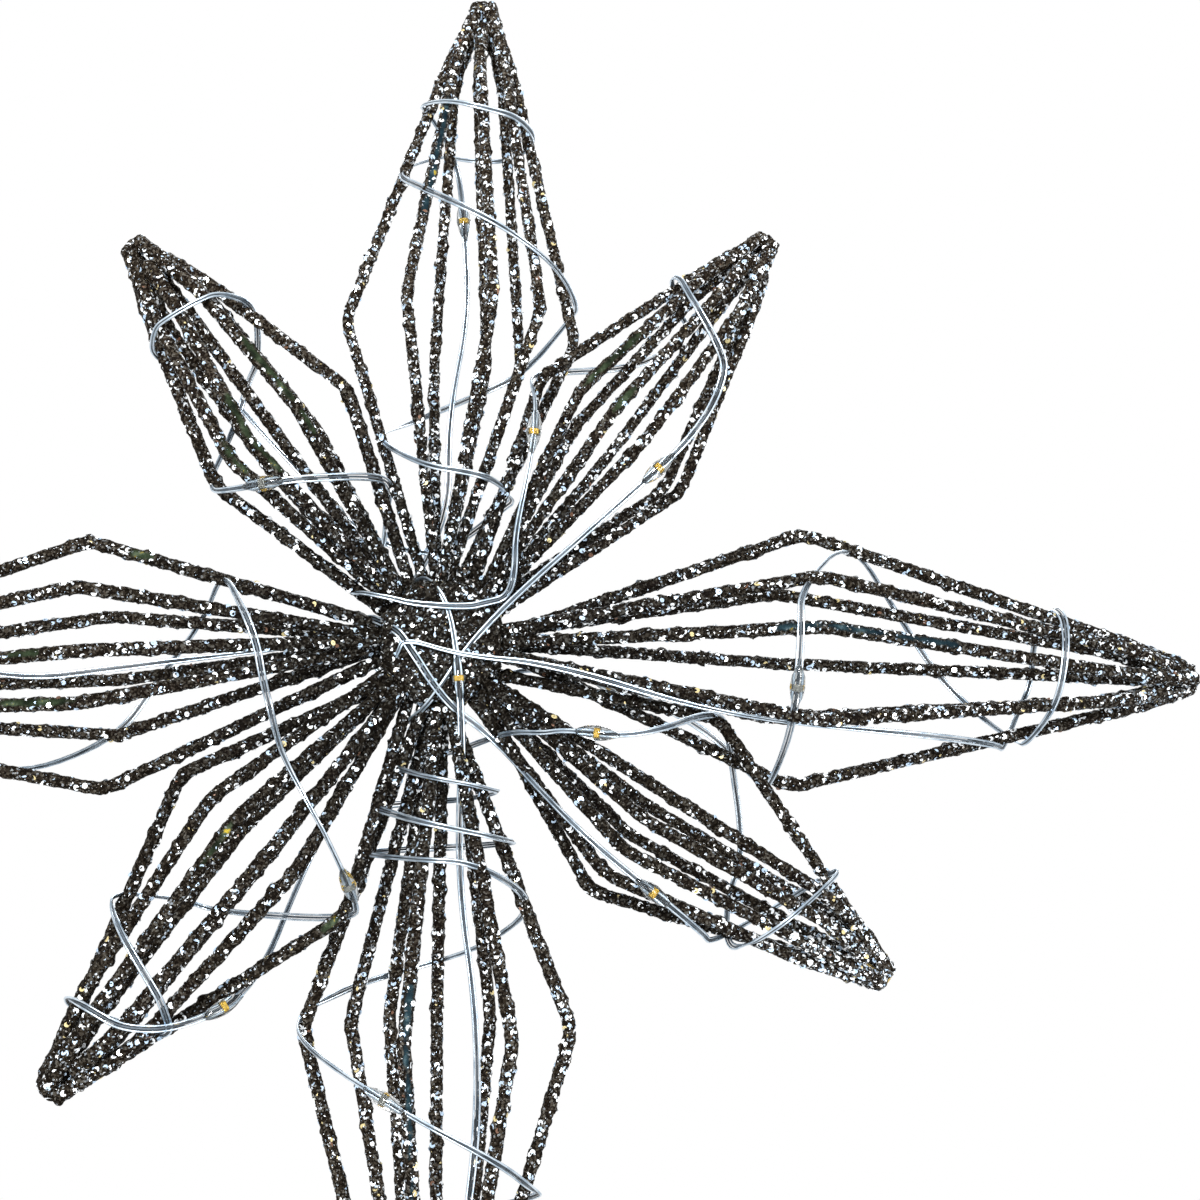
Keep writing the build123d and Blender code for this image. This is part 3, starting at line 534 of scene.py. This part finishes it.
def coat_tree(name, crust, flake, swell, sunk, lumps):
    """Node tree that roughens a surface and scatters the flakes over it."""
    tree = bpy.data.node_groups.new(name, "GeometryNodeTree")
    for way in ("INPUT", "OUTPUT"):
        tree.interface.new_socket("Geometry", in_out=way, socket_type="NodeSocketGeometry")
    start = node(tree, "NodeGroupInput")
    end = node(tree, "NodeGroupOutput")
    bare = named_value(tree, "bare")
    kept = math_node(tree, "SUBTRACT", 1.0, bare)
    grit = math_node(tree, "SUBTRACT", field_noise(tree, GRIT_SCALE, 3), sunk)
    grit = math_node(tree, "MULTIPLY", grit, swell)
    nubs = math_node(tree, "SUBTRACT", field_noise(tree, NUB_SCALE, 1), NUB_LEVEL)
    nubs = math_node(tree, "MULTIPLY", math_node(tree, "MAXIMUM", nubs, 0.0), lumps)
    raised = math_node(tree, "MULTIPLY", math_node(tree, "ADD", grit, nubs), kept)
    thinned = math_node(tree, "MULTIPLY", bare, PAINT_DEPTH)
    heaped = math_node(tree, "MULTIPLY", named_value(tree, "heap"), HEAP_DEPTH)
    rise = math_node(tree, "ADD", math_node(tree, "SUBTRACT", raised, thinned), heaped)
    offset = node(tree, "ShaderNodeVectorMath", operation="SCALE")
    feed(tree, offset.inputs[0], node(tree, "GeometryNodeInputNormal").outputs[0])
    feed(tree, offset.inputs["Scale"], rise)
    moved = node(tree, "GeometryNodeSetPosition")
    feed(tree, moved.inputs["Geometry"], start.outputs[0])
    feed(tree, moved.inputs["Offset"], offset.outputs[0])
    crusted = node(tree, "GeometryNodeSetMaterial")
    feed(tree, crusted.inputs["Geometry"], moved.outputs[0])
    crusted.inputs["Material"].default_value = crust

    held = math_node(tree, "MULTIPLY", kept, 1 - BARE_FLAKE_SHARE)
    held = math_node(tree, "ADD", held, BARE_FLAKE_SHARE)
    # Flake density follows the mark that holds the tips' extra sparkle and the painted light and shade
    brightness = math_node(tree, "ADD", named_value(tree, "sparkle"), 1.0)
    join = node(tree, "GeometryNodeJoinGeometry")
    for seed, (number, *layer) in enumerate(FLAKES):
        density = math_node(tree, "MULTIPLY", math_node(tree, "MULTIPLY", held, number), brightness)
        feed(tree, join.inputs[0], flake_layer(tree, moved.outputs[0], density, layer, seed, flake))
    feed(tree, join.inputs[0], crusted.outputs[0])
    feed(tree, end.inputs[0], join.outputs[0])
    return tree


def settled_mesh(piece, name):
    """The piece's mesh with its modifiers worked in."""
    bpy.context.view_layer.update()
    graph = bpy.context.evaluated_depsgraph_get()
    mesh = bpy.data.meshes.new_from_object(piece.evaluated_get(graph))
    mesh.name = name
    return mesh


def bare_lines(name):
    """Ends of the bare stretches on a point's wires."""
    length = point_length(name)
    lines = []
    for point, wire, half, low, high in BARE_STRETCHES:
        if point != name:
            continue
        turns = WIRE_ANGLES[name]
        shift = sum(turn - WIRE_SPACING * place for place, turn in enumerate(turns)) / len(turns)
        bend = spot(name, length * BEND_SHARES[name], point_girth(name), turns[wire])
        even_turn = shift + WIRE_SPACING * wire
        root = spot(name, FLARE_START, FLARE_RING, even_turn)
        tip = spot(name, length - GATHER_LENGTH, gather_ring(name), even_turn)
        start, stop = (root, bend) if half == "inner" else (bend, tip)
        lines.append((start.lerp(stop, low), start.lerp(stop, high)))
    return lines


def store(mesh, name, values):
    """Keeps one number for each corner of a mesh."""
    mesh.attributes.new(name, "FLOAT", "POINT").data.foreach_set("value", values)


def mark_bare(mesh, lines):
    """Stores how bare each corner of a mesh is: a ragged strip down the front of each stretch."""
    marks = [0.0] * len(mesh.vertices)
    for corner in mesh.vertices:
        for start, stop in lines:
            along = stop - start
            share = (corner.co - start).dot(along) / along.length_squared
            aside = corner.co - start - along * share
            if 0 <= share <= 1 and aside.length < BARE_REACH:
                front = (BARE_SIDE - along * (BARE_SIDE.dot(along) / along.length_squared)).normalized()
                facing = aside.normalized().dot(front)
                ragged = BARE_RAGGEDNESS * field.noise(corner.co * BARE_NOISE_SCALE)
                fade = BARE_FADE * min(share, 1 - share, BARE_FADE_SHARE)
                worn = ragged + BARE_FACING * facing - BARE_LEVEL + fade
                marks[corner.index] = min(max(worn * BARE_EDGE, 0.0), 1.0)
    store(mesh, "bare", marks)


def mark_point(mesh, name):
    """Stores where a point's crust is deeper and brighter, its painted light and shade (fewer flakes and a
    darker coat towards the hub and on points in shade), and its paint's colour.
    """
    tip = spot(name, point_length(name), 0, 0)
    heap, sparkle, painted_shade = [], [], []
    for corner in mesh.vertices:
        gap = (corner.co - tip).length
        share = min(max(HEAP_TOP - gap / HEAP_START, 0.0), 1.0)
        heap.append(share * share * (3 - 2 * share) - THIN_CRUST_SHARES.get(name, 0.0))
        ragged = SPARKLE_RAGGEDNESS * field.noise(corner.co * SPARKLE_NOISE_SCALE)
        near = max(SPARKLE_TOP - gap / SPARKLE_REACH + ragged, 0.0)
        extra = min(near, 1.0) * TIP_SPARKLE_SHARES.get(name, 0.0)
        # Painted light and shade: each point's own share of flakes and coat darkness, and fewer flakes and
        # a darker coat towards the hub
        inner = max(1 - (corner.co - STAR_MIDDLE).length / PAINTED_SHADE_REACH, 0.0)
        sparkle.append(POINT_PAINTED_LIGHT_SHARES[name] + extra - PAINTED_SHADE_FLAKE_SHARE * inner)
        painted_shade.append(PAINTED_SHADE_SHARES[name] + (1 - PAINTED_SHADE_SHARES[name]) * min(PAINTED_SHADE_GROWTH * inner, 1.0))
    store(mesh, "heap", heap)
    store(mesh, "sparkle", sparkle)
    store(mesh, "painted_shade", painted_shade)
    store(mesh, "olive", [1.0 if name in OLIVE_POINTS else 0.0] * len(heap))


def glitter_coat(name, tree, grain, lines=(), point=None):
    """A crusted piece in place of a CAD node: its own shape, made even, roughened and flaked."""
    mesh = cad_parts[name].data.copy()
    bm = bmesh.new()
    bm.from_mesh(mesh)
    bmesh.ops.remove_doubles(bm, verts=bm.verts, dist=0.001 * MM)
    bm.to_mesh(mesh)
    bm.free()
    coat_name = name + "_coat"
    piece = bpy.data.objects.new(coat_name, mesh)
    bpy.context.collection.objects.link(piece)
    even = piece.modifiers.new("even", "REMESH")
    even.mode = "VOXEL"
    even.voxel_size = grain
    mesh = settled_mesh(piece, coat_name)
    piece.modifiers.clear()
    mark_bare(mesh, lines)
    if point:
        mark_point(mesh, point)
    else:
        # Painted shade: the hub gets fewer flakes and the darkest coat
        store(mesh, "sparkle", [HUB_PAINTED_SHADE_SHARE] * len(mesh.vertices))
        store(mesh, "painted_shade", [1.0] * len(mesh.vertices))
    piece.data = mesh
    piece.modifiers.new("glitter", "NODES").node_group = tree
    mesh = settled_mesh(piece, coat_name)
    piece.modifiers.clear()
    piece.data = mesh
    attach(piece, "star")
    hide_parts(name)


# String of lamps
def wound_stops(name, stops):
    """Stops of a leg, and one more wherever it crosses a wire between them."""
    wound = [stops[0]]
    for (turn, share), (next_turn, next_share) in zip(stops, stops[1:]):
        low, high = sorted((turn, next_turn))
        laps = range(low // 360 - 1, high // 360 + 2)
        passed = [wire + 360 * lap for lap in laps for wire in WIRE_ANGLES[name]]
        for wire in sorted(passed, reverse=next_turn < turn):
            clear = min(abs(wire - wound[-1][0]), abs(wire - next_turn)) >= CLOSE_ANGLE
            if low < wire < high and clear:
                passed_share = (wire - turn) / (next_turn - turn)
                wound.append((wire, share + (next_share - share) * passed_share))
        wound.append((next_turn, next_share))
    return wound


def string_place(name, keep, turn, share):
    """A place of the string: on the wires, or inside the cage where it keeps to a share of its girth."""
    along = point_length(name) * share
    out = cage_girth(name, along)
    return spot(name, along, out + STRING_STANDOFF if keep == 1 else out * keep, turn)


def string_route():
    """Corners of the string's route, from inside the battery case to its bare end."""
    corners = [STRING_START, STRING_HOLE]
    for name, keep, stops in ROUTE_SHARES:
        if keep == 1:
            stops = wound_stops(name, stops)
        corners += [string_place(name, keep, turn, share) for turn, share in stops]
    return corners


def smooth_line(corners):
    """Points of the smooth line that the route's corners steer."""
    curve = bpy.data.curves.new("string_line", "CURVE")
    curve.dimensions = "3D"
    line = curve.splines.new("NURBS")
    line.points.add(len(corners) - 1)
    for place, corner in zip(line.points, corners):
        place.co = (*corner, 1)
    line.order_u = 3
    line.use_endpoint_u = True
    line.resolution_u = 8
    piece = bpy.data.objects.new("string_line", curve)
    bpy.context.collection.objects.link(piece)
    mesh = settled_mesh(piece, "string_line")
    places = [vertex.co.copy() for vertex in mesh.vertices]
    bpy.data.objects.remove(piece)
    return places


def waves(travelled, shape):
    """Sum of a few waves, so far along the string."""
    return sum(size * math.sin(travelled * pace + start) for size, pace, start in shape)


def string_leads(places):
    """Two thin leads side by side along the line, with a dark strip of painted shade between them."""
    curve = bpy.data.curves.new("light_string_leads", "CURVE")
    curve.dimensions = "3D"
    curve.bevel_depth = LEAD_WIDTH / 2
    curve.bevel_resolution = 2
    curve.use_fill_caps = True
    strands = [curve.splines.new("POLY") for _ in range(3)]
    for strand in strands:
        strand.points.add(len(places) - 1)
    for finish in (lead_material(), painted_gap_shade_material()):
        curve.materials.append(finish)
    # The middle strand is the painted shade between the leads
    strands[2].material_index = 1
    travelled = 0.0
    across = Vector((0, 1, 0))
    for number, place in enumerate(places):
        before = places[max(number - 1, 0)]
        after = places[min(number + 1, len(places) - 1)]
        heading = (after - before).normalized()
        travelled += (place - before).length
        flat = heading.cross((0, 1, 0))
        pull = flat * math.copysign(FLAT_PULL, flat.dot(across))
        across = (across - heading * across.dot(heading) + pull).normalized()
        aside = Matrix.Rotation(waves(travelled, TWIST_WAVES), 3, heading) @ across
        spread = LEAD_SPACING / 2 * (1 + waves(travelled, SPREAD_WAVES))
        for side, strand in zip((-1, 1, 0), strands):
            strand.points[number].co = (*(place + aside * spread * side), 1)
            strand.points[number].radius = 1 if side else GAP_SHADE_WIDTH / LEAD_WIDTH
    piece = bpy.data.objects.new("light_string_leads", curve)
    bpy.context.collection.objects.link(piece)
    mesh = settled_mesh(piece, "light_string_leads")
    bpy.data.objects.remove(piece)
    mesh.shade_smooth()
    piece = bpy.data.objects.new("light_string_leads", mesh)
    bpy.context.collection.objects.link(piece)
    return piece


def lamp_places(corners, line):
    """Spot on the string that is nearest to each lamp's place, and the string's heading there."""
    headings = [(after - before).normalized() for before, after in zip(line, line[2:])]
    found = []
    for name, turn, share in LAMP_SHARES:
        place = string_place(name, 1, turn, share)
        spots = []
        for start, end in zip(corners, corners[1:]):
            run = end - start
            along = min(max((place - start).dot(run) / run.dot(run), LAMP_RUN_SHARE), 1 - LAMP_RUN_SHARE)
            spots.append((start + run * along, run.normalized()))
        middle, heading = min(spots, key=lambda pair: (pair[0] - place).length)
        stretch = [pair for pair in zip(line[1:], headings) if pair[1].dot(heading) > SAME_HEADING]
        found.append(min(stretch, key=lambda pair: (pair[0] - middle).length))
    return found


def lamp_drops(places):
    """Drops of clear resin, thick round the chip and drawn out along the leads."""
    bm = bmesh.new()
    outline = [Vector((out * DROP_DIAMETER / 2, 0, along * DROP_LENGTH / 2)) for along, out in DROP_OUTLINE]
    for middle, heading in places:
        turn = heading.to_track_quat("Z", "Y").to_matrix().to_4x4()
        where = Matrix.Translation(middle) @ turn
        corners = [bm.verts.new(where @ corner) for corner in outline]
        edges = [bm.edges.new(pair) for pair in zip(corners, corners[1:])]
        bmesh.ops.spin(bm, geom=corners + edges, cent=middle, axis=heading, angle=math.tau,
                       steps=DROP_SIDES, use_merge=True)
    bmesh.ops.remove_doubles(bm, verts=bm.verts, dist=0.01 * MM)
    bmesh.ops.recalc_face_normals(bm, faces=bm.faces)
    mesh = bpy.data.meshes.new("lamp_drops_resin")
    bm.to_mesh(mesh)
    bm.free()
    mesh.shade_smooth()
    piece = bpy.data.objects.new("lamp_drops_resin", mesh)
    bpy.context.collection.objects.link(piece)
    return piece


def lamp_chips(places):
    """Chips inside the drops: a ceramic foot with a yellow phosphor cap on one side of it."""
    bm = bmesh.new()
    for number, (middle, heading) in enumerate(places):
        front = Vector((0, 1 if number in BACKWARD_LAMPS else -1, 0))
        front = (front - heading * front.dot(heading)).normalized()
        turn = Matrix((heading.cross(front), heading, front)).transposed().to_4x4()
        for size, lift, finish in ((CHIP_FOOT, -CHIP_FOOT[2] / 2, 0), (CHIP_CAP, CHIP_CAP[2] / 2, 1)):
            where = Matrix.Translation(middle + front * lift) @ turn @ Matrix.Diagonal((*size, 1))
            corners = bmesh.ops.create_cube(bm, size=1, matrix=where)["verts"]
            for face in {face for corner in corners for face in corner.link_faces}:
                face.material_index = finish
    bmesh.ops.bevel(bm, geom=bm.edges[:], offset=CHIP_BEVEL, segments=2, profile=0.5, affect="EDGES",
                    material=-1)
    mesh = bpy.data.meshes.new("lamp_chips_cap")
    bm.to_mesh(mesh)
    bm.free()
    piece = bpy.data.objects.new("lamp_chips_cap", mesh)
    bpy.context.collection.objects.link(piece)
    return piece


# Dressing and light
def dress(name, finish):
    """Gives a CAD node its finish."""
    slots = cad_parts[name].data.materials
    slots.clear()
    slots.append(finish)


def soft_lamp(name, place, size, power):
    data = bpy.data.lights.new(name, "AREA")
    data.size = size
    data.energy = power
    lamp = bpy.data.objects.new(name, data)
    bpy.context.collection.objects.link(lamp)
    lamp.location = place
    lamp.rotation_euler = (STAR_MIDDLE - Vector(place)).to_track_quat("-Z", "Y").to_euler()


# Camera
camera_data = bpy.data.cameras.new("camera")
camera_data.sensor_width = CAMERA_SENSOR
camera_data.lens = CAMERA_LENS
camera_data.clip_start = 0.01
camera = bpy.data.objects.new("camera", camera_data)
bpy.context.collection.objects.link(camera)
camera.location = STAR_MIDDLE + CAMERA_OFFSET
aim = STAR_MIDDLE + AIM_OFFSET
camera.rotation_euler = (aim - camera.location).to_track_quat("-Z", "Y").to_euler()
bpy.context.scene.camera = camera

# String
route = string_route()
line = smooth_line(route)
leads = string_leads(line)
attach(leads, "star")
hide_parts("light_string")
places = lamp_places(route, line)
drops = lamp_drops(places)
drops.data.materials.append(resin_material())
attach(drops, "star")
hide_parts("lamp_drops")
chips = lamp_chips(places)
chips.data.materials.append(grained_material("chip_foot", (0.16, 0.16, 0.14), (0.3, 0.3, 0.27), 0.5))
chips.data.materials.append(grained_material("lamp_chip", (0.75, 0.42, 0.03), (0.95, 0.6, 0.06), 0.5))
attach(chips, "star")
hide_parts("lamp_chips")

# Glittered wires
crust = crust_material()
flake = flake_material()
wire_coat = coat_tree("wire_coat", crust, flake, WIRE_SWELL, WIRE_SUNK, WIRE_NUBS)
hub_coat = coat_tree("hub_coat", crust, flake, HUB_SWELL, HUB_SUNK, HUB_NUBS)
for point in POINTS:
    glitter_coat(point + "_wires", wire_coat, COAT_GRAIN, bare_lines(point), point)
glitter_coat("hub_block", hub_coat, COAT_GRAIN)
glitter_coat("spiral_socket", wire_coat, COAT_GRAIN)

# Tip beads and the battery case
braze = braze_material()
for point in POINTS:
    if point in GLITTERED_BEADS:
        glitter_coat(point + "_tip_bead", wire_coat, BEAD_GRAIN, point=point)
    else:
        dress(point + "_tip_bead", braze)
case_plastic = grained_material("case_plastic", (0.022, 0.022, 0.024), (0.04, 0.04, 0.043), 0.45)
for name in ("battery_case", "battery_cover"):
    dress(name, case_plastic)
switch_plastic = grained_material("switch_plastic", (0.05, 0.05, 0.052), (0.09, 0.09, 0.092), 0.4)
for name in ("switch_body", "switch_slider"):
    dress(name, switch_plastic)
dress("coin_cells", grained_material("cell_steel", (0.55, 0.55, 0.56), (0.68, 0.68, 0.69), 0.3, 1.0, 600))
spring_steel = grained_material("contact_steel", (0.5, 0.5, 0.5), (0.66, 0.65, 0.62), 0.25, 1.0, 900)
for name in ("cell_spring", "cell_clip"):
    dress(name, spring_steel)
dress("case_ties", grained_material("tie_wire", (0.38, 0.38, 0.39), (0.55, 0.55, 0.56), 0.4, 1.0, 1200))

# Floor, world and lamps
bm = bmesh.new()
bmesh.ops.create_grid(bm, x_segments=1, y_segments=1, size=FLOOR_REACH)
bmesh.ops.translate(bm, verts=bm.verts, vec=(0, 0, FLOOR_LEVEL))
floor_mesh = bpy.data.meshes.new("floor")
bm.to_mesh(floor_mesh)
bm.free()
floor = bpy.data.objects.new("floor", floor_mesh)
bpy.context.collection.objects.link(floor)
floor.data.materials.append(floor_material())
bpy.context.scene.world = studio_world()
soft_lamp("key", (-0.2, -0.95, 0.55), 0.3, 16)
soft_lamp("fill", (0.55, -0.85, 0.1), 0.4, 6)
soft_lamp("back", (0.2, 0.8, 0.8), 0.5, 5)
bpy.context.scene.view_settings.view_transform = "Standard"
